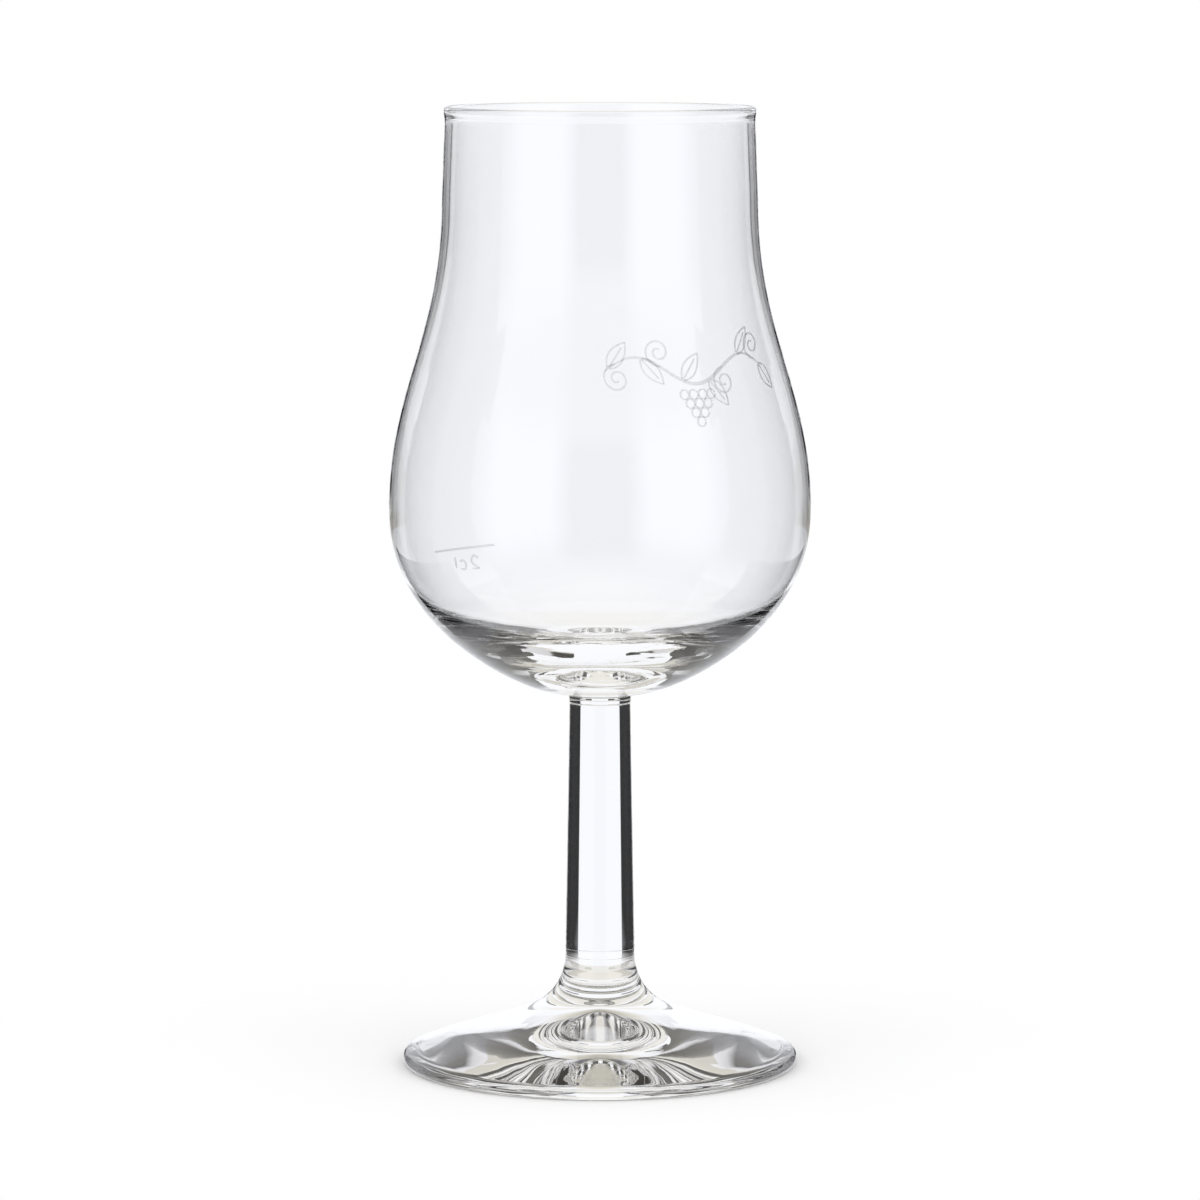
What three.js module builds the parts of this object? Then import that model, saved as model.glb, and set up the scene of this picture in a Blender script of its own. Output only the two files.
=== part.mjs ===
// Tulip-shaped tasting snifter: a blown bowl, a solid drawn stem and a pressed foot, fused together.
// Millimetres, +Z up, the foot rests on z = 0 and the glass turns about the Z axis.
import * as THREE from "three";

// The three pieces stand on one another, so each has its own height.
const FOOT_HEIGHT = 15.05;
const STEM_LENGTH = 34.9;
const BOWL_HEIGHT = 81.05;

// Fused seams: the edges beside a seam melt round and leave a fine groove.
const SEAM_EASE = 0.18;

// Bowl, outside. The belly is the widest circle, the chimney is the nearly straight mouth.
const NECK_RADIUS = 4.25;
const NECK_LENGTH = 0.36;
const FILLET_REACH = 2.48;
const FILLET_RISE = 1.17;
const BELLY_RADIUS = 28.73;
const BELLY_RISE = 26.61;
const CHIMNEY_RADIUS = 21.41;
const CHIMNEY_LENGTH = 12.38;
const RIM_RADIUS = 21.0;
const UNDER_SLOPE = 0.03;
const UNDER_FLAT = 0.1;
const UNDER_PULL = 0.715;
const SHOULDER_LOW_PULL = 0.383;
const SHOULDER_HIGH_PULL = 0.441;

// Bowl, inside. The wall is thin to the belly and runs into a thick, heavy base.
const WALL_RIM = 0.6;
const WALL_CHIMNEY = 0.6;
const WALL_BELLY = 0.6;
const BASE_THICKNESS = 7.2;
const CAVITY_PULL = 0.97;
const CAVITY_FLAT = 0.45;
const RIM_BEAD = 0.85;

// Stem: a solid round bar, a little stouter at the foot.
const STEM_TOP_RADIUS = 4.16;
const STEM_FOOT_RADIUS = 4.76;

// Foot: a trumpet that runs out to a rounded edge, hollowed below like a blunt cone.
const FOOT_RADIUS = 27.05;
const FOOT_EDGE = 1.96;
const COLLAR_LENGTH = 0.3;
const FLARE_SLOPE = 21;
const FLARE_FLAT = 0.643;
const FLARE_DROP = 0.613;
const FLARE_LEAN = 5.4;
const REST_WIDTH = 1.8;
const HOLLOW_RISE = 5;
const HOLLOW_SLOPE = 8.5;
const HOLLOW_FLAT = 0.1;
const HOLLOW_PULL = 0.8;

// How finely the turned shapes are cut.
const TURN_STEPS = 64;
const CURVE_STEPS = 9;
const EDGE_STEPS = 4;

// Points (radius, height) of a cubic curve without its first one, which the curve before it ends on.
function cubic(from, fromHandle, toHandle, to, steps) {
  const curve = new THREE.CubicBezierCurve(from, fromHandle, toHandle, to);
  return curve.getPoints(steps).slice(1);
}

// Points of a circular arc without its first one; angles in degrees from the outward direction.
function arc(centre, radius, start, end, steps) {
  const points = [];
  for (let i = 1; i <= steps; i += 1) {
    const angle = THREE.MathUtils.degToRad(start + ((end - start) * i) / steps);
    points.push(at(centre.x + radius * Math.cos(angle), centre.y + radius * Math.sin(angle)));
  }
  return points;
}

function at(radius, height) {
  return new THREE.Vector2(radius, height);
}

// Turns a profile about Z in clear glass and stands it at its height.
function turned(name, profile, base) {
  const geometry = new THREE.LatheGeometry(profile, TURN_STEPS);
  geometry.rotateX(Math.PI / 2);
  const glass = new THREE.MeshStandardMaterial({
    name: "clear_glass",
    color: 0xf2f4f2,
    roughness: 0.03,
    metalness: 0,
    transparent: true,
    opacity: 0.35,
  });
  const mesh = new THREE.Mesh(geometry, glass);
  mesh.name = name;
  mesh.position.z = base;
  return mesh;
}

// Bowl profile from the seam face out, up to the rim, over it and down the inside to the axis.
function bowlProfile() {
  const seam = at(NECK_RADIUS - SEAM_EASE, 0);
  const neckLow = at(NECK_RADIUS, SEAM_EASE);
  const neckTop = at(NECK_RADIUS, NECK_LENGTH);
  const underStart = at(NECK_RADIUS + FILLET_REACH, NECK_LENGTH + FILLET_RISE);
  const filletCorner = at(NECK_RADIUS, underStart.y - FILLET_REACH * UNDER_SLOPE);
  const belly = at(BELLY_RADIUS, BELLY_RISE);
  const chimney = at(CHIMNEY_RADIUS, BOWL_HEIGHT - CHIMNEY_LENGTH);
  const underSpan = at(belly.x - underStart.x, belly.y - underStart.y);
  const shoulderSpan = chimney.y - belly.y;

  const bead = RIM_BEAD / 2;
  const wallMiddle = RIM_RADIUS - WALL_RIM / 2;
  const beadCentre = at(wallMiddle, BOWL_HEIGHT - bead);
  const beadBlend = 2 * RIM_BEAD;
  const rimOuter = at(RIM_RADIUS, beadCentre.y - beadBlend);
  const rimInner = at(RIM_RADIUS - WALL_RIM, rimOuter.y);

  const chimneyIn = at(CHIMNEY_RADIUS - WALL_CHIMNEY, chimney.y);
  const bellyIn = at(BELLY_RADIUS - WALL_BELLY, belly.y);
  const floor = at(0, BASE_THICKNESS);
  const cavityDepth = bellyIn.y - floor.y;

  return [
    at(0, 0),
    seam,
    neckLow,
    neckTop,
    ...cubic(neckTop, filletCorner, filletCorner, underStart, EDGE_STEPS),
    ...cubic(
      underStart,
      at(underStart.x + UNDER_FLAT * underSpan.x, underStart.y + UNDER_FLAT * underSpan.x * UNDER_SLOPE),
      at(belly.x, belly.y - UNDER_PULL * underSpan.y),
      belly,
      CURVE_STEPS,
    ),
    ...cubic(
      belly,
      at(belly.x, belly.y + SHOULDER_LOW_PULL * shoulderSpan),
      at(chimney.x, chimney.y - SHOULDER_HIGH_PULL * shoulderSpan),
      chimney,
      CURVE_STEPS,
    ),
    rimOuter,
    at(wallMiddle + bead, beadCentre.y),
    ...arc(beadCentre, bead, 0, 180, 2 * EDGE_STEPS),
    rimInner,
    chimneyIn,
    ...cubic(
      chimneyIn,
      at(chimneyIn.x, chimney.y - SHOULDER_HIGH_PULL * shoulderSpan),
      at(bellyIn.x, belly.y + SHOULDER_LOW_PULL * shoulderSpan),
      bellyIn,
      CURVE_STEPS,
    ),
    ...cubic(
      bellyIn,
      at(bellyIn.x, bellyIn.y - CAVITY_PULL * cavityDepth),
      at(CAVITY_FLAT * bellyIn.x, floor.y),
      floor,
      CURVE_STEPS,
    ),
  ];
}

// Stem profile from its lower seam face to its upper one.
function stemProfile() {
  return [
    at(0, 0),
    at(STEM_FOOT_RADIUS - SEAM_EASE, 0),
    at(STEM_FOOT_RADIUS, SEAM_EASE),
    at(STEM_TOP_RADIUS, STEM_LENGTH - SEAM_EASE),
    at(STEM_TOP_RADIUS - SEAM_EASE, STEM_LENGTH),
    at(0, STEM_LENGTH),
  ];
}

// Foot profile from the hollow below, over the resting ring and the edge, up the flare to the seam face.
function footProfile() {
  const edge = FOOT_EDGE / 2;
  const edgeCentre = at(FOOT_RADIUS - edge, edge);
  const edgeTop = 90 - FLARE_SLOPE;
  const hollowTop = at(0, HOLLOW_RISE);
  const restInner = at(edgeCentre.x - REST_WIDTH, 0);
  const restOuter = at(edgeCentre.x, 0);
  const hollowRun = HOLLOW_PULL * restInner.x;
  const hollowDrop = hollowRun * Math.tan(THREE.MathUtils.degToRad(HOLLOW_SLOPE));
  const edgeArc = arc(edgeCentre, edge, -90, edgeTop, 2 * EDGE_STEPS);
  const flareEnd = edgeArc[edgeArc.length - 1];
  const collar = at(STEM_FOOT_RADIUS, FOOT_HEIGHT - COLLAR_LENGTH);
  const flareRun = FLARE_FLAT * (flareEnd.x - collar.x);
  const flareRise = flareRun * Math.tan(THREE.MathUtils.degToRad(FLARE_SLOPE));
  const flareDrop = FLARE_DROP * (collar.y - flareEnd.y);
  const flareLean = flareDrop * Math.tan(THREE.MathUtils.degToRad(FLARE_LEAN));

  return [
    hollowTop,
    ...cubic(
      hollowTop,
      at(HOLLOW_FLAT * restInner.x, hollowTop.y),
      at(restInner.x - hollowRun, hollowDrop),
      restInner,
      CURVE_STEPS,
    ),
    restOuter,
    ...edgeArc,
    ...cubic(
      flareEnd,
      at(flareEnd.x - flareRun, flareEnd.y + flareRise),
      at(collar.x + flareLean, collar.y - flareDrop),
      collar,
      CURVE_STEPS,
    ),
    at(STEM_FOOT_RADIUS, FOOT_HEIGHT - SEAM_EASE),
    at(STEM_FOOT_RADIUS - SEAM_EASE, FOOT_HEIGHT),
    at(0, FOOT_HEIGHT),
  ];
}

const snifter = new THREE.Group();
snifter.name = "snifter";
snifter.add(turned("foot", footProfile(), 0));
snifter.add(turned("stem", stemProfile(), FOOT_HEIGHT));
snifter.add(turned("bowl", bowlProfile(), FOOT_HEIGHT + STEM_LENGTH));

export default snifter;
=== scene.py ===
"""Tulip-shaped tasting snifter in clear glass: blown bowl, drawn stem and pressed foot, with etched marks."""

import math

import bpy
import numpy as np
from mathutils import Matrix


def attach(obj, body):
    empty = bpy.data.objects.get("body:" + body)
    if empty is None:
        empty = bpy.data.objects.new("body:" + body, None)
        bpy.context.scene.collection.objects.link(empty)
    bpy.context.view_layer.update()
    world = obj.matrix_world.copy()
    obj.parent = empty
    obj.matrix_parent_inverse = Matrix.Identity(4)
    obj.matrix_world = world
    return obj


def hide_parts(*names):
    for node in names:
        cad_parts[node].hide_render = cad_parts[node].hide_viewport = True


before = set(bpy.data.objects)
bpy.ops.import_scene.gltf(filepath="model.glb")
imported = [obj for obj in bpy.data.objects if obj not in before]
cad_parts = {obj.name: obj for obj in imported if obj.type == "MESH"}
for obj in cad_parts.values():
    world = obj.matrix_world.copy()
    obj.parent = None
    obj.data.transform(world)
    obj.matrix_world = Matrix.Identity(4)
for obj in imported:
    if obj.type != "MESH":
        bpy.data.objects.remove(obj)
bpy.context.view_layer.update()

# Sizes in millimetres, the same as those of the solids.
FOOT_HEIGHT = 15.05
STEM_LENGTH = 34.9
BOWL_HEIGHT = 81.05
SEAM_EASE = 0.18
NECK_RADIUS = 4.25
NECK_LENGTH = 0.36
FILLET_REACH = 2.48
FILLET_RISE = 1.17
BELLY_RADIUS = 28.73
BELLY_RISE = 26.61
CHIMNEY_RADIUS = 21.41
CHIMNEY_LENGTH = 12.38
RIM_RADIUS = 21.0
UNDER_SLOPE = 0.03
UNDER_FLAT = 0.1
UNDER_PULL = 0.715
SHOULDER_LOW_PULL = 0.383
SHOULDER_HIGH_PULL = 0.441
WALL_RIM = 0.6
WALL_CHIMNEY = 0.6
WALL_BELLY = 0.6
BASE_THICKNESS = 7.2
CAVITY_PULL = 0.97
CAVITY_FLAT = 0.45
RIM_BEAD = 0.85
STEM_TOP_RADIUS = 4.16
STEM_FOOT_RADIUS = 4.76
FOOT_RADIUS = 27.05
FOOT_EDGE = 1.96
COLLAR_LENGTH = 0.3
FLARE_SLOPE = 21.0
FLARE_FLAT = 0.643
FLARE_DROP = 0.613
FLARE_LEAN = 5.4
REST_WIDTH = 1.8
HOLLOW_RISE = 5.0
HOLLOW_SLOPE = 8.5
HOLLOW_FLAT = 0.1
HOLLOW_PULL = 0.8
MM = 0.001

# The foot's seam is melted to a finer groove than the neck's, and a hair's breadth is left between two
# fused faces.
FOOT_SEAM_EASE = 0.05
WELD_GAP = 0.01

# How finely the turned shapes are drawn: round the turn, along a long curve, along a small edge, and in the
# bands of the straight stretches.
TURN_STEPS = 320
CURVE_STEPS = 48
EDGE_STEPS = 12
FLAT_STEPS = 4
NECK_STEPS = 3
CHIMNEY_STEPS = 8
STEM_STEPS = 40
WELD_BANDS = FLAT_STEPS + 1


def line(start, end, steps):
    """Points evenly spaced on the straight line from start to end, without the first."""
    share = np.linspace(0.0, 1.0, steps + 1)[1:, None]
    return (1 - share) * np.array(start) + share * np.array(end)


def cubic(start, start_handle, end_handle, end, steps):
    """Points of a cubic curve: the four corners weighted by the cubic Bernstein shares, without the first."""
    t = np.linspace(0.0, 1.0, steps + 1)[1:, None]
    corners = [np.array(p, dtype=float) for p in (start, start_handle, end_handle, end)]
    weights = [(1 - t) ** 3, 3 * t * (1 - t) ** 2, 3 * t * t * (1 - t), t**3]
    return sum(w * c for w, c in zip(weights, corners))


def arc(centre, radius, start, end, steps):
    """Points of a circular arc by cosine and sine of angles in degrees from outwards, without the first."""
    angle = np.radians(np.linspace(start, end, steps + 1)[1:])
    return np.stack([centre[0] + radius * np.cos(angle), centre[1] + radius * np.sin(angle)], axis=1)


def bowl_profile():
    """Radius and height of the bowl's section, from the seam up the outside, over the rim and down inside."""
    seam = (NECK_RADIUS - SEAM_EASE, 0.0)
    neck_top = (NECK_RADIUS, NECK_LENGTH)
    under = (NECK_RADIUS + FILLET_REACH, NECK_LENGTH + FILLET_RISE)
    corner = (NECK_RADIUS, under[1] - FILLET_REACH * UNDER_SLOPE)
    belly = (BELLY_RADIUS, BELLY_RISE)
    chimney = (CHIMNEY_RADIUS, BOWL_HEIGHT - CHIMNEY_LENGTH)
    run = UNDER_FLAT * (belly[0] - under[0])
    shoulder = chimney[1] - belly[1]
    low_pull = belly[1] + SHOULDER_LOW_PULL * shoulder
    high_pull = chimney[1] - SHOULDER_HIGH_PULL * shoulder
    bead = RIM_BEAD / 2
    bead_centre = (RIM_RADIUS - WALL_RIM / 2, BOWL_HEIGHT - bead)
    rim_height = bead_centre[1] - 2 * RIM_BEAD
    chimney_in = (CHIMNEY_RADIUS - WALL_CHIMNEY, chimney[1])
    belly_in = (BELLY_RADIUS - WALL_BELLY, belly[1])
    depth = belly_in[1] - BASE_THICKNESS
    rim_out = (RIM_RADIUS, rim_height)
    rim_in = (RIM_RADIUS - WALL_RIM, rim_height)
    bead_out = (bead_centre[0] + bead, bead_centre[1])
    bead_in = (bead_centre[0] - bead, bead_centre[1])
    rise = (0.0, RIM_BEAD)
    return np.vstack(
        [
            [(0.0, WELD_GAP)],
            line((0.0, WELD_GAP), (seam[0], WELD_GAP), FLAT_STEPS),
            arc((seam[0], SEAM_EASE), SEAM_EASE, -90.0, 0.0, EDGE_STEPS),
            line((NECK_RADIUS, SEAM_EASE), neck_top, NECK_STEPS),
            cubic(neck_top, corner, corner, under, EDGE_STEPS),
            cubic(
                under,
                (under[0] + run, under[1] + run * UNDER_SLOPE),
                (belly[0], belly[1] - UNDER_PULL * (belly[1] - under[1])),
                belly,
                CURVE_STEPS,
            ),
            cubic(belly, (belly[0], low_pull), (chimney[0], high_pull), chimney, CURVE_STEPS),
            line(chimney, rim_out, CHIMNEY_STEPS),
            cubic(rim_out, np.add(rim_out, rise), np.subtract(bead_out, rise), bead_out, EDGE_STEPS),
            arc(bead_centre, bead, 0.0, 180.0, 2 * EDGE_STEPS),
            cubic(bead_in, np.subtract(bead_in, rise), np.add(rim_in, rise), rim_in, EDGE_STEPS),
            line(rim_in, chimney_in, CHIMNEY_STEPS),
            cubic(chimney_in, (chimney_in[0], high_pull), (belly_in[0], low_pull), belly_in, CURVE_STEPS),
            cubic(
                belly_in,
                (belly_in[0], belly_in[1] - CAVITY_PULL * depth),
                (CAVITY_FLAT * belly_in[0], BASE_THICKNESS),
                (0.0, BASE_THICKNESS),
                CURVE_STEPS,
            ),
        ]
    )


def stem_profile():
    """Radius and height of the stem's section: a straight taper between two flat seams with melted edges."""
    low = (STEM_FOOT_RADIUS - FOOT_SEAM_EASE, FOOT_SEAM_EASE)
    high = (STEM_TOP_RADIUS - SEAM_EASE, STEM_LENGTH - SEAM_EASE)
    top = STEM_LENGTH - WELD_GAP
    return np.vstack(
        [
            [(0.0, WELD_GAP)],
            line((0.0, WELD_GAP), (low[0], WELD_GAP), FLAT_STEPS),
            arc(low, FOOT_SEAM_EASE, -90.0, 0.0, EDGE_STEPS)[1:],
            line((STEM_FOOT_RADIUS, low[1]), (STEM_TOP_RADIUS, high[1]), STEM_STEPS),
            arc(high, SEAM_EASE, 0.0, 90.0, EDGE_STEPS)[:-1],
            [(high[0], top)],
            line((high[0], top), (0.0, top), FLAT_STEPS),
        ]
    )


def foot_profile():
    """Radius and height of the foot's section, from the hollow below, round the edge and up the flare."""
    edge = FOOT_EDGE / 2
    edge_centre = (FOOT_RADIUS - edge, edge)
    hollow_top = (0.0, HOLLOW_RISE)
    rest_in = (edge_centre[0] - REST_WIDTH, 0.0)
    rest_out = (edge_centre[0], 0.0)
    pull = HOLLOW_PULL * rest_in[0]
    edge_arc = arc(edge_centre, edge, -90.0, 90.0 - FLARE_SLOPE, 2 * EDGE_STEPS)
    flare_end = edge_arc[-1]
    collar = (STEM_FOOT_RADIUS, FOOT_HEIGHT - COLLAR_LENGTH)
    run = FLARE_FLAT * (flare_end[0] - collar[0])
    drop = FLARE_DROP * (collar[1] - flare_end[1])
    lean = drop * math.tan(math.radians(FLARE_LEAN))
    seam = (STEM_FOOT_RADIUS - FOOT_SEAM_EASE, FOOT_HEIGHT - FOOT_SEAM_EASE)
    top = FOOT_HEIGHT - WELD_GAP
    return np.vstack(
        [
            [hollow_top],
            cubic(
                hollow_top,
                (HOLLOW_FLAT * rest_in[0], HOLLOW_RISE),
                (rest_in[0] - pull, pull * math.tan(math.radians(HOLLOW_SLOPE))),
                rest_in,
                2 * CURVE_STEPS,
            ),
            line(rest_in, rest_out, FLAT_STEPS),
            edge_arc,
            cubic(
                flare_end,
                (flare_end[0] - run, flare_end[1] + run * math.tan(math.radians(FLARE_SLOPE))),
                (collar[0] + lean, collar[1] - drop),
                collar,
                2 * CURVE_STEPS,
            ),
            line(collar, (collar[0], seam[1]), NECK_STEPS),
            arc(seam, FOOT_SEAM_EASE, 0.0, 90.0, EDGE_STEPS)[:-2],
            [(seam[0], top)],
            line((seam[0], top), (0.0, top), FLAT_STEPS),
        ]
    )


def mesh_of(name, points, faces, materials):
    """A mesh from points in millimetres, the faces that join them and its materials."""
    mesh = bpy.data.meshes.new(name)
    mesh.from_pydata((np.asarray(points) * MM).tolist(), [], faces)
    for material in materials:
        mesh.materials.append(material)
    mesh.update()
    return mesh


def placed(name, data):
    """Puts a mesh or a lamp into the scene as an object at the origin."""
    made = bpy.data.objects.new(name, data)
    bpy.context.collection.objects.link(made)
    return made


def turned(node, profile, base, materials, first_weld=0, last_weld=0):
    """A solid of revolution: x and y are the profile's radius times cosine and sine of the turn, z is its
    height.

    The first and last profile points lie on the axis and close as fans. The first and last few bands are
    the flat fused faces, which take the second material.
    """
    turn = np.linspace(0.0, 2 * math.pi, TURN_STEPS, endpoint=False)
    rings = profile[1:-1]
    x = np.outer(rings[:, 0], np.cos(turn))
    y = np.outer(rings[:, 0], np.sin(turn))
    z = np.outer(rings[:, 1], np.ones(TURN_STEPS))
    grid = np.stack([x, y, z], axis=2).reshape(-1, 3)
    poles = np.array([(0.0, 0.0, profile[0, 1]), (0.0, 0.0, profile[-1, 1])])
    points = np.vstack([grid, poles]) + (0.0, 0.0, base)
    near = np.arange(TURN_STEPS)
    far = np.roll(near, -1)
    row = np.arange(len(rings) - 1)[:, None] * TURN_STEPS
    quads = np.stack([row + near, row + far, row + far + TURN_STEPS, row + near + TURN_STEPS], axis=2)
    first, last = len(grid), len(grid) + 1
    top = (len(rings) - 1) * TURN_STEPS
    start_fan = np.stack([np.full(TURN_STEPS, first), far, near], axis=1)
    end_fan = np.stack([np.full(TURN_STEPS, last), top + near, top + far], axis=1)
    faces = quads.reshape(-1, 4).tolist() + start_fan.tolist() + end_fan.tolist()
    mesh = mesh_of(node + "_turned", points, faces, materials)
    band = np.concatenate(
        [
            np.repeat(np.arange(1, len(rings)), TURN_STEPS),
            np.zeros(TURN_STEPS, dtype=int),
            np.full(TURN_STEPS, len(rings)),
        ]
    )
    fused = (band < first_weld) | (band > len(rings) - last_weld)
    mesh.polygons.foreach_set("material_index", fused.astype(np.int32))
    mesh.polygons.foreach_set("use_smooth", ~fused)
    mesh.update()
    piece = placed(node + "_glass", mesh)
    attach(piece, "root")
    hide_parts(node)


# What the materials share: glass's index of refraction and plain white.
GLASS_INDEX = 1.52
WHITE = (1.0, 1.0, 1.0, 1.0)

# The glass's unevenness: how much flatter than wide its bands lie, the fine layer's bands per metre and share
# of the height, how detailed each layer is, and how much of the swell is left in the thin wall.
FLOW_STRETCH = 3.0
FINE_BANDS = 420.0
FINE_SHARE = 0.05
BROAD_DETAIL = 1.0
FINE_DETAIL = 2.0
THIN_SHARE = 0.08

# Each piece's own unevenness: bands per metre, height of the swell in millimetres and greatest roughness. The
# bowl's swell fades between two heights, and the other two keep theirs to above the rim.
BOWL_FADE = (57.0, 66.0)
NO_FADE = (131.0, 140.0)
BLOWN_FLOW = {"bands": 120.0, "swell": 0.12, "polish": 0.004, "fade": BOWL_FADE}
DRAWN_FLOW = {"bands": 40.0, "swell": 0.01, "polish": 0.004, "fade": NO_FADE}
PRESSED_FLOW = {"bands": 130.0, "swell": 0.03, "polish": 0.012, "fade": NO_FADE}


def node_in(tree, kind, **settings):
    """Adds a node of a kind to a tree and sets its properties."""
    made = tree.nodes.new(kind)
    for name, value in settings.items():
        setattr(made, name, value)
    return made


def set_stops(ramp, stops):
    """Sets a colour ramp's stops, each a share from 0 to 1 and a colour, in rising order."""
    while len(ramp.elements) < len(stops):
        ramp.elements.new(1.0)
    for stop, (share, colour) in zip(ramp.elements, stops):
        stop.position = share
        stop.color = colour


def molten_flow():
    """Node group: the slow unevenness of glass shaped hot, as a height and a faint unevenness of polish.

    Two layers of noise on Object coordinates are added, one broad and one fine, both stretched along the
    turn so that they lie in level bands. Their sum about its middle fades between two heights, from the thick
    glass to the thin wall. The fine layer alone sets the polish.
    """
    group = bpy.data.node_groups.new("molten_flow", "ShaderNodeTree")
    for name in ("Bands", "Polish", "Thick", "Thin"):
        group.interface.new_socket(name, in_out="INPUT", socket_type="NodeSocketFloat")
    for name in ("Height", "Roughness"):
        group.interface.new_socket(name, in_out="OUTPUT", socket_type="NodeSocketFloat")
    given = node_in(group, "NodeGroupInput")
    out = node_in(group, "NodeGroupOutput")
    place = node_in(group, "ShaderNodeTexCoord")
    stretch = node_in(group, "ShaderNodeMapping")
    stretch.inputs["Scale"].default_value = (1.0, 1.0, FLOW_STRETCH)
    broad = node_in(group, "ShaderNodeTexNoise")
    broad.inputs["Detail"].default_value = BROAD_DETAIL
    fine = node_in(group, "ShaderNodeTexNoise")
    fine.inputs["Scale"].default_value = FINE_BANDS
    fine.inputs["Detail"].default_value = FINE_DETAIL
    share = node_in(group, "ShaderNodeMath", operation="MULTIPLY")
    share.inputs[1].default_value = FINE_SHARE
    total = node_in(group, "ShaderNodeMath", operation="ADD")
    about = node_in(group, "ShaderNodeMath", operation="SUBTRACT")
    about.inputs[1].default_value = 0.5 + 0.5 * FINE_SHARE
    parts = node_in(group, "ShaderNodeSeparateXYZ")
    fade = node_in(group, "ShaderNodeMapRange", interpolation_type="SMOOTHSTEP")
    fade.inputs["To Min"].default_value = 1.0
    fade.inputs["To Max"].default_value = THIN_SHARE
    height = node_in(group, "ShaderNodeMath", operation="MULTIPLY")
    polish = node_in(group, "ShaderNodeMath", operation="MULTIPLY")
    links = group.links
    links.new(place.outputs["Object"], stretch.inputs["Vector"])
    links.new(stretch.outputs["Vector"], broad.inputs["Vector"])
    links.new(stretch.outputs["Vector"], fine.inputs["Vector"])
    links.new(given.outputs["Bands"], broad.inputs["Scale"])
    links.new(fine.outputs["Fac"], share.inputs[0])
    links.new(broad.outputs["Fac"], total.inputs[0])
    links.new(share.outputs["Value"], total.inputs[1])
    links.new(total.outputs["Value"], about.inputs[0])
    links.new(place.outputs["Object"], parts.inputs["Vector"])
    links.new(parts.outputs["Z"], fade.inputs["Value"])
    links.new(given.outputs["Thick"], fade.inputs["From Min"])
    links.new(given.outputs["Thin"], fade.inputs["From Max"])
    links.new(about.outputs["Value"], height.inputs[0])
    links.new(fade.outputs["Result"], height.inputs[1])
    links.new(fine.outputs["Fac"], polish.inputs[0])
    links.new(given.outputs["Polish"], polish.inputs[1])
    links.new(height.outputs["Value"], out.inputs["Height"])
    links.new(polish.outputs["Value"], out.inputs["Roughness"])
    return group


FLOW = molten_flow()


def glass_shader(name, index):
    """A new material whose shader lets all light through and bends it by its index, with its node tree."""
    material = bpy.data.materials.new(name)
    material.use_nodes = True
    tree = material.node_tree
    shader = tree.nodes["Principled BSDF"]
    shader.inputs["Base Color"].default_value = WHITE
    shader.inputs["IOR"].default_value = index
    shader.inputs["Transmission Weight"].default_value = 1.0
    return material, tree, shader


def clear_glass(name, bands, swell, polish, fade):
    """Colourless glass that bends and mirrors light, with a slight swell left from its making."""
    material, tree, shader = glass_shader(name, GLASS_INDEX)
    flow = node_in(tree, "ShaderNodeGroup", node_tree=FLOW)
    flow.inputs["Bands"].default_value = bands
    flow.inputs["Polish"].default_value = polish
    flow.inputs["Thick"].default_value = fade[0] * MM
    flow.inputs["Thin"].default_value = fade[1] * MM
    bump = node_in(tree, "ShaderNodeBump")
    bump.inputs["Strength"].default_value = 1.0
    bump.inputs["Distance"].default_value = swell * MM
    tree.links.new(flow.outputs["Height"], bump.inputs["Height"])
    tree.links.new(flow.outputs["Roughness"], shader.inputs["Roughness"])
    tree.links.new(bump.outputs["Normal"], shader.inputs["Normal"])
    return material


def fused_seam():
    """The inside of a fused seam, where glass meets glass and light passes straight on."""
    material, _, shader = glass_shader("fused_seam", 1.0)
    shader.inputs["Roughness"].default_value = 0.0
    return material


seam_glass = fused_seam()
blown = [clear_glass("blown_glass", **BLOWN_FLOW), seam_glass]
drawn = [clear_glass("drawn_glass", **DRAWN_FLOW), seam_glass]
pressed = [clear_glass("pressed_glass", **PRESSED_FLOW), seam_glass]
turned("bowl", bowl_profile(), FOOT_HEIGHT + STEM_LENGTH, blown, first_weld=WELD_BANDS)
turned("stem", stem_profile(), FOOT_HEIGHT, drawn, first_weld=WELD_BANDS, last_weld=WELD_BANDS)
turned("foot", foot_profile(), 0.0, pressed, last_weld=WELD_BANDS)

# The etched marks: how far their frosted skin lies in and stands off the wall, and the frost's grains per
# metre, detail, dimmest colour and roughness.
ETCH_DEPTH = 0.015
ETCH_LIFT = 0.02
ETCH_GRAIN = 3500.0
ETCH_DETAIL = 3.0
ETCH_DIM = (0.93, 0.93, 0.94, 1.0)
ETCH_ROUGHNESS = (0.2, 0.4)

# The fill mark: the line's place on the bowl and length, and the letters under it. The slim last letter
# stands closer by a share of the gap.
FILL_LINE = 0.24
FILL_HEIGHT = 69.7
FILL_ANGLE = 122.3
FILL_LENGTH = 11.8
LETTER_DROP = 2.6
LETTER_HEIGHT = 1.65
LETTER_WIDTH = 1.2
LETTER_START = 3.3
LETTER_GAP = 1.15
LETTER_CLOSER = 0.35
TWO_BEND = (165.0, -38.0)
C_BOW = (45.0, 315.0)


def on_bowl(angle, flat, lift):
    """Lays flat points on the bowl's outside: the first number runs round it in millimetres from an angle in
    degrees, the second is the height above the table, and lift is how far they stand off the wall."""
    section = bowl_profile()
    outside = section[1 : int(np.argmax(section[:, 1]))]
    radius = np.interp(flat[:, 1] - FOOT_HEIGHT - STEM_LENGTH, outside[:, 1], outside[:, 0])
    turn = math.radians(angle) + flat[:, 0] / radius
    reach = radius + lift
    return np.stack([reach * np.cos(turn), reach * np.sin(turn), flat[:, 1]], axis=1)


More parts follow.
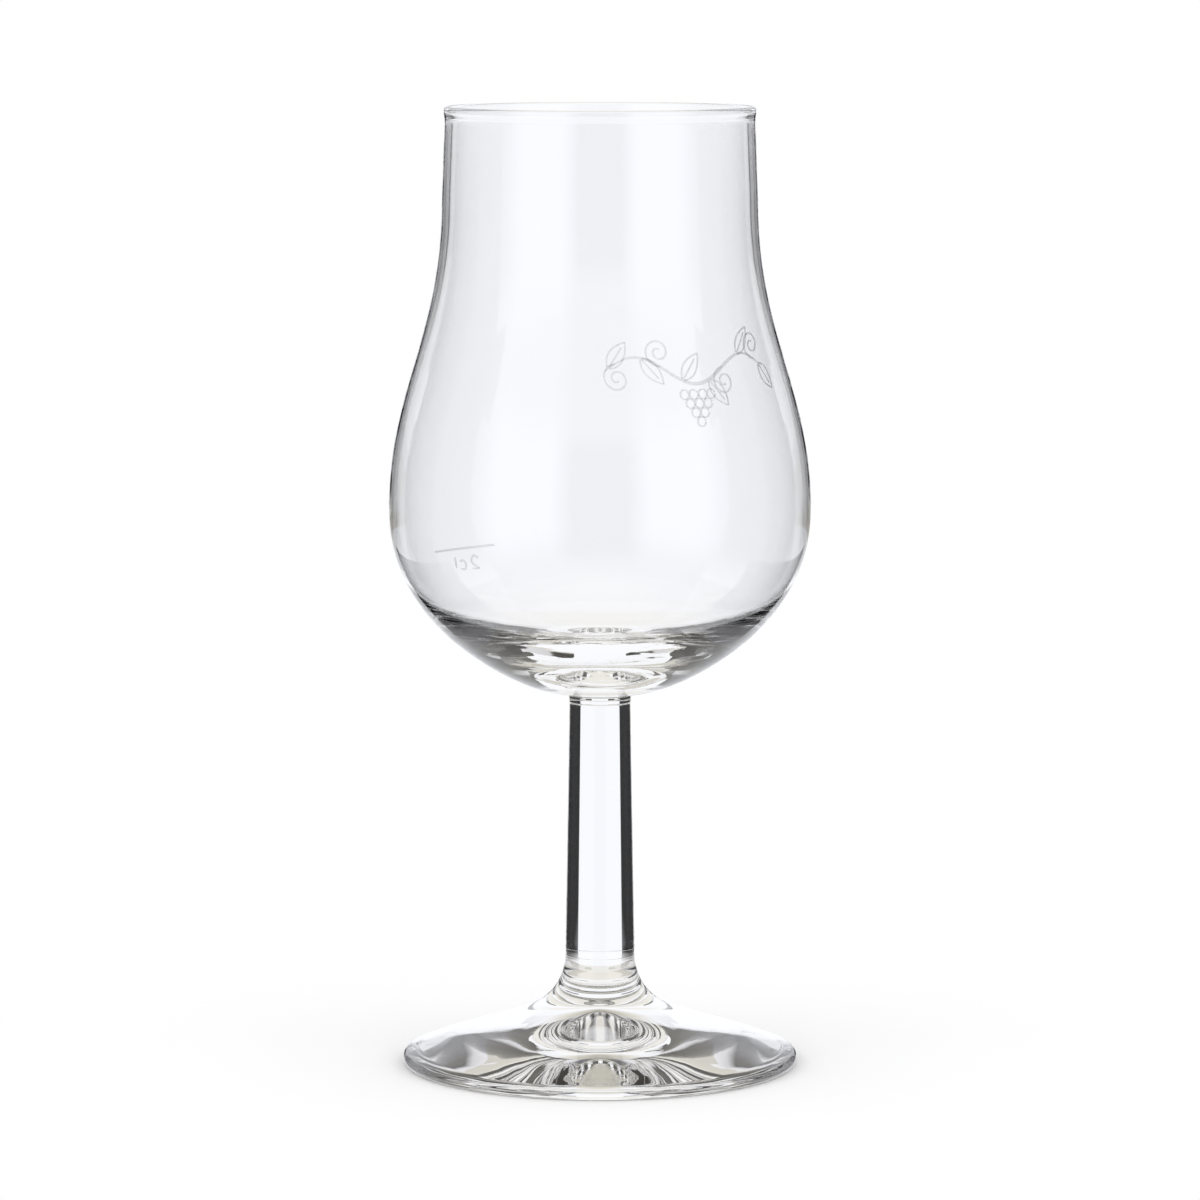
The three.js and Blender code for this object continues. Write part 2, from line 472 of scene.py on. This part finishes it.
def etched_strokes(name, angle, strokes, material):
    """Etched lines: each path of flat points is widened by half its width to both sides, square to its run,
    and gets a skin above and below the wall, so that four rows of points close into a flat tube with two
    ends."""
    points, faces = [], []
    count = 0
    for path, width in strokes:
        run = np.gradient(path, axis=0)
        run /= np.linalg.norm(run, axis=1)[:, None]
        side = np.stack([-run[:, 1], run[:, 0]], axis=1) * (0.5 * np.broadcast_to(width, len(path))[:, None])
        rows = [
            on_bowl(angle, path + side, ETCH_LIFT),
            on_bowl(angle, path - side, ETCH_LIFT),
            on_bowl(angle, path - side, -ETCH_DEPTH),
            on_bowl(angle, path + side, -ETCH_DEPTH),
        ]
        points.append(np.stack(rows, axis=1).reshape(-1, 3))
        corners = len(rows)
        near = np.arange(corners)
        far = np.roll(near, -1)
        step = count + corners * np.arange(len(path) - 1)[:, None]
        tube = np.stack([step + near, step + far, step + far + corners, step + near + corners], axis=2)
        last = count + corners * (len(path) - 1)
        faces += tube.reshape(-1, 4).tolist()
        faces += [(count + near[::-1]).tolist(), (last + near).tolist()]
        count += corners * len(path)
    piece = placed(name, mesh_of(name, np.vstack(points), faces, [material]))
    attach(piece, "root")


def frosted_etch():
    """Glass etched to a pale frost: it lets light through but scatters it, with a fine, uneven grain."""
    material, tree, shader = glass_shader("frosted_etch", GLASS_INDEX)
    place = node_in(tree, "ShaderNodeTexCoord")
    grain = node_in(tree, "ShaderNodeTexNoise")
    grain.inputs["Scale"].default_value = ETCH_GRAIN
    grain.inputs["Detail"].default_value = ETCH_DETAIL
    shade = node_in(tree, "ShaderNodeValToRGB")
    set_stops(shade.color_ramp, [(0.0, ETCH_DIM), (1.0, WHITE)])
    rough = node_in(tree, "ShaderNodeMapRange")
    rough.inputs["To Min"].default_value = ETCH_ROUGHNESS[0]
    rough.inputs["To Max"].default_value = ETCH_ROUGHNESS[1]
    tree.links.new(place.outputs["Object"], grain.inputs["Vector"])
    tree.links.new(grain.outputs["Fac"], shade.inputs["Fac"])
    tree.links.new(grain.outputs["Fac"], rough.inputs["Value"])
    tree.links.new(shade.outputs["Color"], shader.inputs["Base Color"])
    tree.links.new(rough.outputs["Result"], shader.inputs["Roughness"])
    return material


def fill_strokes():
    """The fill line, and under it a figure two and the letters c and l, drawn with lines and arcs."""
    foot_line = FILL_HEIGHT - LETTER_DROP
    half = LETTER_WIDTH / 2
    pitch = LETTER_WIDTH + LETTER_GAP
    two = (LETTER_START + half, foot_line + LETTER_HEIGHT - half)
    letter_c = (LETTER_START + pitch + half, foot_line + half)
    letter_l = LETTER_START + 2 * pitch - LETTER_CLOSER * LETTER_GAP
    toe = (LETTER_START, foot_line)
    heel = (LETTER_START + LETTER_WIDTH, foot_line)
    bend = arc(two, half, *TWO_BEND, steps=20)
    paths = [
        line((0.0, FILL_HEIGHT), (FILL_LENGTH, FILL_HEIGHT), steps=60),
        np.vstack([bend, line(bend[-1], toe, steps=8)]),
        line(toe, heel, steps=6),
        arc(letter_c, half, *C_BOW, steps=28),
        line((letter_l, foot_line), (letter_l, foot_line + LETTER_HEIGHT), steps=6),
    ]
    return [(path, FILL_LINE) for path in paths]


# A sprig of vine etched on the wall: a waved stem with tendrils, leaves and one bunch of grapes. A tendril
# closes in to a share of its radius, a leaf's edges bulge at two shares of its length, and its rib stops
# short of the tip.
SPRIG_ANGLE = -60.0
SPRIG_HEIGHT = 97.0
SPRIG_HALF = 12.5
SPRIG_WAVE = 1.8
SPRIG_LINE = 0.3
TENDRIL_SHARES = (0.06, 0.3, 0.68, 0.94)
TENDRIL_RADIUS = 1.9
TENDRIL_TURNS = 1.6
TENDRIL_END = 1.0 / 6.0
TENDRIL_STEPS = 60
TENDRIL_LINE = 0.24
LEAF_SHARES = (0.02, 0.2, 0.42, 0.58, 0.8, 0.98)
LEAF_LENGTH = 4.4
LEAF_BULGE = 1.3
LEAF_LEAN = (0.62, 0.78)
LEAF_LOW = 0.25
LEAF_HIGH = 0.6
RIB_SHARE = 0.8
LEAF_LINE = 0.21
GRAPE_ROWS = 4
GRAPE_RADIUS = 0.62
GRAPE_PITCH = 1.36
GRAPE_NEST = 0.87


def vine(share):
    """The vine's stem: it runs across from end to end and its height makes one and a half waves."""
    share = np.asarray(share, dtype=float)
    across = SPRIG_HALF * (2 * share - 1)
    rise = SPRIG_HEIGHT + SPRIG_WAVE * np.sin(3 * math.pi * share)
    return np.stack([across, rise], axis=-1)


def tendril(share, side):
    """A tendril: a spiral that leaves the stem to one side and whose radius shrinks evenly to its end."""
    reach = TENDRIL_RADIUS * np.linspace(1.0, TENDRIL_END, TENDRIL_STEPS)
    turn = -side * (math.pi / 2 + np.linspace(0.0, 2 * math.pi * TENDRIL_TURNS, TENDRIL_STEPS))
    centre = vine(share) + (0.0, side * TENDRIL_RADIUS)
    return centre + np.stack([reach * np.cos(turn), reach * np.sin(turn)], axis=1)


def leaf(share, side):
    """A leaf in three lines: two edges that bulge out from stalk to tip, and the rib between them."""
    stalk = vine(share)
    lean = np.array((LEAF_LEAN[0], side * LEAF_LEAN[1]))
    across = np.array((-lean[1], lean[0]))
    tip = stalk + LEAF_LENGTH * lean
    low = stalk + LEAF_LOW * LEAF_LENGTH * lean
    high = stalk + LEAF_HIGH * LEAF_LENGTH * lean
    bulges = (LEAF_BULGE * across, -LEAF_BULGE * across)
    edges = [cubic(stalk, low + bulge, high + bulge, tip, steps=24) for bulge in bulges]
    return edges + [line(stalk, (1 - RIB_SHARE) * stalk + RIB_SHARE * tip, steps=12)]


def grapes():
    """A bunch hung from the middle of the vine: rings in rows that lose one each time."""
    stalk = vine(0.5)
    rings = []
    for row in range(GRAPE_ROWS):
        count = GRAPE_ROWS - row
        drop = GRAPE_PITCH * (1.0 + GRAPE_NEST * row)
        for place in range(count):
            aside = GRAPE_PITCH * (place - 0.5 * (count - 1))
            rings.append(arc(stalk + (aside, -drop), GRAPE_RADIUS, 0.0, 360.0, steps=24))
    return rings


def sprig_strokes():
    """All lines of the sprig with their widths; the stem tapers to both ends, the other lines are finer."""
    share = np.linspace(0.0, 1.0, 120)
    strokes = [(vine(share), SPRIG_LINE * (0.5 + np.sin(math.pi * share)))]
    for count, place in enumerate(TENDRIL_SHARES):
        strokes.append((tendril(place, 1.0 if count % 2 else -1.0), TENDRIL_LINE))
    for count, place in enumerate(LEAF_SHARES):
        strokes += [(edge, LEAF_LINE) for edge in leaf(place, -1.0 if count % 2 else 1.0)]
    return strokes + [(ring, LEAF_LINE) for ring in grapes()]


etch = frosted_etch()
etched_strokes("fill_mark", FILL_ANGLE, fill_strokes(), etch)
etched_strokes("vine_sprig", SPRIG_ANGLE, sprig_strokes(), etch)

# Camera: placed from the photo, in millimetres and degrees.
CAMERA_BACK = 770.04
CAMERA_HEIGHT = 153.45
CAMERA_TILT = 6.631
CAMERA_LENS = 170.64
SENSOR_WIDTH = 36.0

camera_data = bpy.data.cameras.new("camera")
camera_data.lens = CAMERA_LENS
camera_data.sensor_width = SENSOR_WIDTH
camera = placed("camera", camera_data)
camera.location = (0.0, -CAMERA_BACK * MM, CAMERA_HEIGHT * MM)
camera.rotation_euler = (math.radians(90.0 - CAMERA_TILT), 0.0, 0.0)
scene = bpy.context.scene
scene.camera = camera


def studio_sheet(name, points, faces, material):
    """A floor, card or wall of the studio, from points in millimetres and the faces that join them."""
    sheet = placed(name, mesh_of(name, points, faces, [material]))
    return sheet


def seen_in_glass_only(sheet):
    """Hides a studio sheet from the camera and keeps its light and shadow off the floor."""
    sheet.visible_camera = False
    sheet.visible_diffuse = False
    sheet.visible_shadow = False


def bare_material(name):
    """A new material with nothing but its output, with its node tree and that output."""
    material = bpy.data.materials.new(name)
    material.use_nodes = True
    tree = material.node_tree
    tree.nodes.clear()
    return material, tree, node_in(tree, "ShaderNodeOutputMaterial")


# The floor: a wide white table, of pale paper within a short reach of the glass, where its shadow falls.
FLOOR_HALF = 6000.0
PAPER_REACH = 24.0
PAPER_END = 90.0
PAPER = (0.96, 0.96, 0.96, 1.0)


def floor_paper():
    """Pale paper near the glass, which runs out into plain white further off."""
    material, tree, out = bare_material("floor_paper")
    paper = node_in(tree, "ShaderNodeBsdfDiffuse")
    paper.inputs["Color"].default_value = PAPER
    white = node_in(tree, "ShaderNodeEmission")
    white.inputs["Color"].default_value = WHITE
    place = node_in(tree, "ShaderNodeTexCoord")
    reach = node_in(tree, "ShaderNodeVectorMath", operation="LENGTH")
    fade = node_in(tree, "ShaderNodeMapRange", interpolation_type="SMOOTHSTEP")
    fade.inputs["From Min"].default_value = PAPER_REACH * MM
    fade.inputs["From Max"].default_value = PAPER_END * MM
    mix = node_in(tree, "ShaderNodeMixShader")
    tree.links.new(place.outputs["Object"], reach.inputs[0])
    tree.links.new(reach.outputs["Value"], fade.inputs["Value"])
    tree.links.new(fade.outputs["Result"], mix.inputs["Fac"])
    tree.links.new(paper.outputs["BSDF"], mix.inputs[1])
    tree.links.new(white.outputs["Emission"], mix.inputs[2])
    tree.links.new(mix.outputs["Shader"], out.inputs["Surface"])
    return material


floor_corners = [(x * FLOOR_HALF, y * FLOOR_HALF, 0.0) for x, y in ((-1, -1), (1, -1), (1, 1), (-1, 1))]
floor = studio_sheet("floor", floor_corners, [(0, 1, 2, 3)], floor_paper())
floor.visible_glossy = False
floor.visible_transmission = False

# The studio's light is a slightly cool white.
COOL = 1.04


def cool_white(level):
    """The studio's white at a level of brightness."""
    return (level, level, level * COOL, 1.0)


def graded_glow(name, stops):
    """A card whose brightness changes with the height, by stops of a height in millimetres and a level."""
    material, tree, out = bare_material(name)
    bottom, top = stops[0][0], stops[-1][0]
    glow = node_in(tree, "ShaderNodeEmission")
    place = node_in(tree, "ShaderNodeTexCoord")
    parts = node_in(tree, "ShaderNodeSeparateXYZ")
    reach = node_in(tree, "ShaderNodeMapRange")
    reach.inputs["From Min"].default_value = bottom * MM
    reach.inputs["From Max"].default_value = top * MM
    ramp = node_in(tree, "ShaderNodeValToRGB")
    span = top - bottom
    set_stops(ramp.color_ramp, [((height - bottom) / span, cool_white(level)) for height, level in stops])
    tree.links.new(place.outputs["Object"], parts.inputs["Vector"])
    tree.links.new(parts.outputs["Z"], reach.inputs["Value"])
    tree.links.new(reach.outputs["Result"], ramp.inputs["Fac"])
    tree.links.new(ramp.outputs["Color"], glow.inputs["Color"])
    tree.links.new(glow.outputs["Emission"], out.inputs["Surface"])
    return material


# Dark cards stand on both sides, just out of the picture, seen only in the glass. Their glow is painted
# light: nearly black in the middle, bright below the floor's level and towards the top of the base cards. The
# low ones draw the edges of the stem and the foot.
# The base cards above them show through the glass only, in the bowl's heavy base, and fade upwards.
CARD_ASIDE = 88.5
LOW_CARD_NEAR = -12.6
LOW_CARD_FAR = 161.0
LOW_CARD_BOTTOM = -60.0
CARD_SPLIT = 42.0
BASE_CARD_NEAR = 0.0
BASE_CARD_FAR = 190.0
BASE_CARD_TOP = 165.0
LOW_GLOW = [
    (LOW_CARD_BOTTOM, 0.9),
    (-40.0, 0.8),
    (-24.0, 0.3),
    (-12.0, 0.02),
    (28.0, 0.02),
    (CARD_SPLIT, 0.05),
]
BASE_GLOW = [(CARD_SPLIT, 0.02), (112.0, 0.02), (BASE_CARD_TOP, 0.8)]
SIDES = (("left", -1.0), ("right", 1.0))


def side_card(name, side, near, far, bottom, top, material):
    """An upright card beside the glass, between two distances along the view and two heights."""
    aside = side * CARD_ASIDE
    corners = [(aside, near, bottom), (aside, far, bottom), (aside, far, top), (aside, near, top)]
    card = studio_sheet(name, corners, [(0, 1, 2, 3)], material)
    seen_in_glass_only(card)
    return card


# The cards' brightness is a painted glow by height, not light from a lamp.
studio = []
low_glow = graded_glow("low_card", LOW_GLOW)
base_glow = graded_glow("base_card", BASE_GLOW)
for name, side in SIDES:
    low_span = (LOW_CARD_NEAR, LOW_CARD_FAR, LOW_CARD_BOTTOM, CARD_SPLIT)
    base_span = (BASE_CARD_NEAR, BASE_CARD_FAR, CARD_SPLIT, BASE_CARD_TOP)
    low_card = side_card("low_card_" + name, side, *low_span, low_glow)
    base_card = side_card("base_card_" + name, side, *base_span, base_glow)
    base_card.visible_glossy = False
    studio += [low_card, base_card]

# The room: a drum behind and beside the camera, and far walls on either side of the white backdrop. Angles
# run in degrees from the camera's side.
ROOM_RADIUS = 1000.0
ROOM_HEIGHT = 1500.0
ROOM_TURN = 130.0
WALL_RADIUS = 4000.0
WALL_LOW = -490.0
WALL_HIGH = 230.0
WALL_TURN = 169.5
DRUM_STEP = 4.0

# The room's glow paints what the glass reflects round it: a painted reflection of two broad soft lights on
# either side of the camera, painted lit walls beyond them, and a dark gap between those walls and the
# backdrop. Each stop is an angle and a level.
ROOM_GLOW = [
    (0.0, 0.14),
    (15.0, 0.15),
    (28.0, 0.8),
    (60.0, 0.8),
    (76.0, 0.36),
    (100.0, 0.36),
    (120.0, 0.62),
    (130.0, 0.64),
    (140.0, 0.76),
    (147.0, 0.92),
    (153.0, 0.72),
    (160.0, 0.65),
    (161.3, 0.0),
    (WALL_TURN, 0.0),
]

# The ends of the room by height: a painted reflection of the pale table fills the lowest part, and of a dim
# ceiling the highest. Each stop is a height, a colour and how much of it shows.
TABLE_REFLECTION = (0.68, 0.66, 0.6)
CEILING_REFLECTION = (0.08, 0.08, 0.085)
ROOM_ENDS = [(-420.0, TABLE_REFLECTION, 1.0), (-230.0, TABLE_REFLECTION, 0.0), (450.0, CEILING_REFLECTION, 0.0), (800.0, CEILING_REFLECTION, 0.85)]


def drum_wall(name, radius, first, last, bottom, top, material):
    """Part of an upright drum: x and y are its radius times sine and minus cosine of a turn, z is height."""
    steps = math.ceil((last - first) / DRUM_STEP)
    turn = np.radians(np.linspace(first, last, steps + 1))
    ring = np.stack([radius * np.sin(turn), -radius * np.cos(turn), np.zeros_like(turn)], axis=1)
    low = np.arange(steps)
    high = low + steps + 1
    points = np.vstack([ring + (0.0, 0.0, bottom), ring + (0.0, 0.0, top)])
    faces = np.stack([low, low + 1, high + 1, high], axis=1).tolist()
    wall = studio_sheet(name, points, faces, material)
    seen_in_glass_only(wall)
    return wall


def room_glow():
    """The room's painted glow, seen only in the glass: its brightness by the angle round the glass from the
    camera's side, and its ends by height.
    """
    material, tree, out = bare_material("room_glow")
    glow = node_in(tree, "ShaderNodeEmission")
    place = node_in(tree, "ShaderNodeTexCoord")
    parts = node_in(tree, "ShaderNodeSeparateXYZ")
    aside = node_in(tree, "ShaderNodeMath", operation="ABSOLUTE")
    front = node_in(tree, "ShaderNodeMath", operation="MULTIPLY")
    front.inputs[1].default_value = -1.0
    angle = node_in(tree, "ShaderNodeMath", operation="ARCTAN2")
    share = node_in(tree, "ShaderNodeMath", operation="DIVIDE")
    share.inputs[1].default_value = math.pi
    ramp = node_in(tree, "ShaderNodeValToRGB")
    set_stops(ramp.color_ramp, [(degrees / 180.0, cool_white(level)) for degrees, level in ROOM_GLOW])
    reach = node_in(tree, "ShaderNodeMapRange")
    reach.inputs["From Min"].default_value = -ROOM_HEIGHT * MM
    reach.inputs["From Max"].default_value = ROOM_HEIGHT * MM
    ends = node_in(tree, "ShaderNodeValToRGB")
    end_stops = [(0.5 + 0.5 * height / ROOM_HEIGHT, (*colour, shown)) for height, colour, shown in ROOM_ENDS]
    set_stops(ends.color_ramp, end_stops)
    mix = node_in(tree, "ShaderNodeMix", data_type="RGBA")
    tree.links.new(place.outputs["Object"], parts.inputs["Vector"])
    tree.links.new(parts.outputs["Z"], reach.inputs["Value"])
    tree.links.new(reach.outputs["Result"], ends.inputs["Fac"])
    tree.links.new(ends.outputs["Alpha"], mix.inputs["Factor"])
    tree.links.new(ramp.outputs["Color"], mix.inputs["A"])
    tree.links.new(ends.outputs["Color"], mix.inputs["B"])
    tree.links.new(parts.outputs["X"], aside.inputs[0])
    tree.links.new(parts.outputs["Y"], front.inputs[0])
    tree.links.new(aside.outputs["Value"], angle.inputs[0])
    tree.links.new(front.outputs["Value"], angle.inputs[1])
    tree.links.new(angle.outputs["Value"], share.inputs[0])
    tree.links.new(share.outputs["Value"], ramp.inputs["Fac"])
    tree.links.new(mix.outputs["Result"], glow.inputs["Color"])
    tree.links.new(glow.outputs["Emission"], out.inputs["Surface"])
    return material


# The drum and far walls glow with painted reflections of the soft lights, lit walls, table and ceiling, for
# the glass only.
room = room_glow()
studio += [
    drum_wall("dim_room", ROOM_RADIUS, -ROOM_TURN, ROOM_TURN, -ROOM_HEIGHT, ROOM_HEIGHT, room),
    drum_wall("wall_left", WALL_RADIUS, -WALL_TURN, -ROOM_TURN, WALL_LOW, WALL_HIGH, room),
    drum_wall("wall_right", WALL_RADIUS, ROOM_TURN, WALL_TURN, WALL_LOW, WALL_HIGH, room),
]

# What the glass sees by the sine of the height above level: pale table, white, then a warm, dimmer light.
SKY = [
    (-0.75, (0.86, 0.84, 0.78)),
    (-0.4, (1.0, 1.01, 1.05)),
    (0.42, (1.0, 1.01, 1.05)),
    (0.62, (0.8, 0.78, 0.72)),
    (0.82, (0.6, 0.57, 0.5)),
    (0.95, (0.5, 0.48, 0.42)),
]
FLOOR_LIGHT = (0.98, 0.98, 0.98, 1.0)


def studio_world():
    """White all round for the camera and the glass, warm overhead, and a plain level for the floor."""
    world = bpy.data.worlds.new("studio")
    world.use_nodes = True
    tree = world.node_tree
    tree.nodes.clear()
    out = node_in(tree, "ShaderNodeOutputWorld")
    sky = node_in(tree, "ShaderNodeBackground")
    path = node_in(tree, "ShaderNodeLightPath")
    way = node_in(tree, "ShaderNodeTexCoord")
    parts = node_in(tree, "ShaderNodeSeparateXYZ")
    height = node_in(tree, "ShaderNodeMapRange")
    height.inputs["From Min"].default_value = -1.0
    ramp = node_in(tree, "ShaderNodeValToRGB")
    set_stops(ramp.color_ramp, [(0.5 + 0.5 * sine, (*colour, 1.0)) for sine, colour in SKY])
    camera_white = node_in(tree, "ShaderNodeMix", data_type="RGBA")
    camera_white.inputs["B"].default_value = WHITE
    floor_level = node_in(tree, "ShaderNodeMix", data_type="RGBA")
    floor_level.inputs["B"].default_value = FLOOR_LIGHT
    links = tree.links
    links.new(way.outputs["Generated"], parts.inputs["Vector"])
    links.new(parts.outputs["Z"], height.inputs["Value"])
    links.new(height.outputs["Result"], ramp.inputs["Fac"])
    links.new(path.outputs["Is Camera Ray"], camera_white.inputs["Factor"])
    links.new(ramp.outputs["Color"], camera_white.inputs["A"])
    links.new(path.outputs["Is Diffuse Ray"], floor_level.inputs["Factor"])
    links.new(camera_white.outputs["Result"], floor_level.inputs["A"])
    links.new(floor_level.outputs["Result"], sky.inputs["Color"])
    links.new(sky.outputs["Background"], out.inputs["Surface"])
    return world


scene.world = studio_world()

# Two soft lamps light the floor from either side of the camera. Their angle is from the camera's side.
BOX_TURN = 51.0
BOX_DISTANCE = 640.0
BOX_WIDTH = 540.0
BOX_HEIGHT = 1600.0
BOX_CENTRE = 200.0
BOX_RADIANCE = 0.75


def soft_box(name, side):
    """A soft lamp that faces the glass; its power is its radiance times pi times its area."""
    lamp = bpy.data.lights.new(name, "AREA")
    lamp.shape = "RECTANGLE"
    lamp.size = BOX_WIDTH * MM
    lamp.size_y = BOX_HEIGHT * MM
    lamp.energy = BOX_RADIANCE * math.pi * BOX_WIDTH * BOX_HEIGHT * MM * MM
    box = placed(name, lamp)
    turn = side * math.radians(BOX_TURN)
    aside = BOX_DISTANCE * math.sin(turn)
    back = BOX_DISTANCE * math.cos(turn)
    box.location = (aside * MM, -back * MM, BOX_CENTRE * MM)
    box.rotation_euler = (math.radians(90.0), 0.0, turn)
    box.visible_camera = False
    box.visible_glossy = False
    box.visible_transmission = False
    return box


studio += [soft_box("soft_box_" + name, side) for name, side in SIDES]

# The studio goes round with the camera, as it does when the glass stands on a turntable.
bpy.context.view_layer.update()
for sheet in studio:
    sheet.parent = camera
    sheet.matrix_parent_inverse = camera.matrix_world.inverted()

# Light that is mirrored to and fro inside the glass needs many bounces.
GLASS_BOUNCES = 48
scene.view_settings.view_transform = "Standard"
scene.cycles.max_bounces = GLASS_BOUNCES
scene.cycles.glossy_bounces = GLASS_BOUNCES
scene.cycles.transmission_bounces = GLASS_BOUNCES
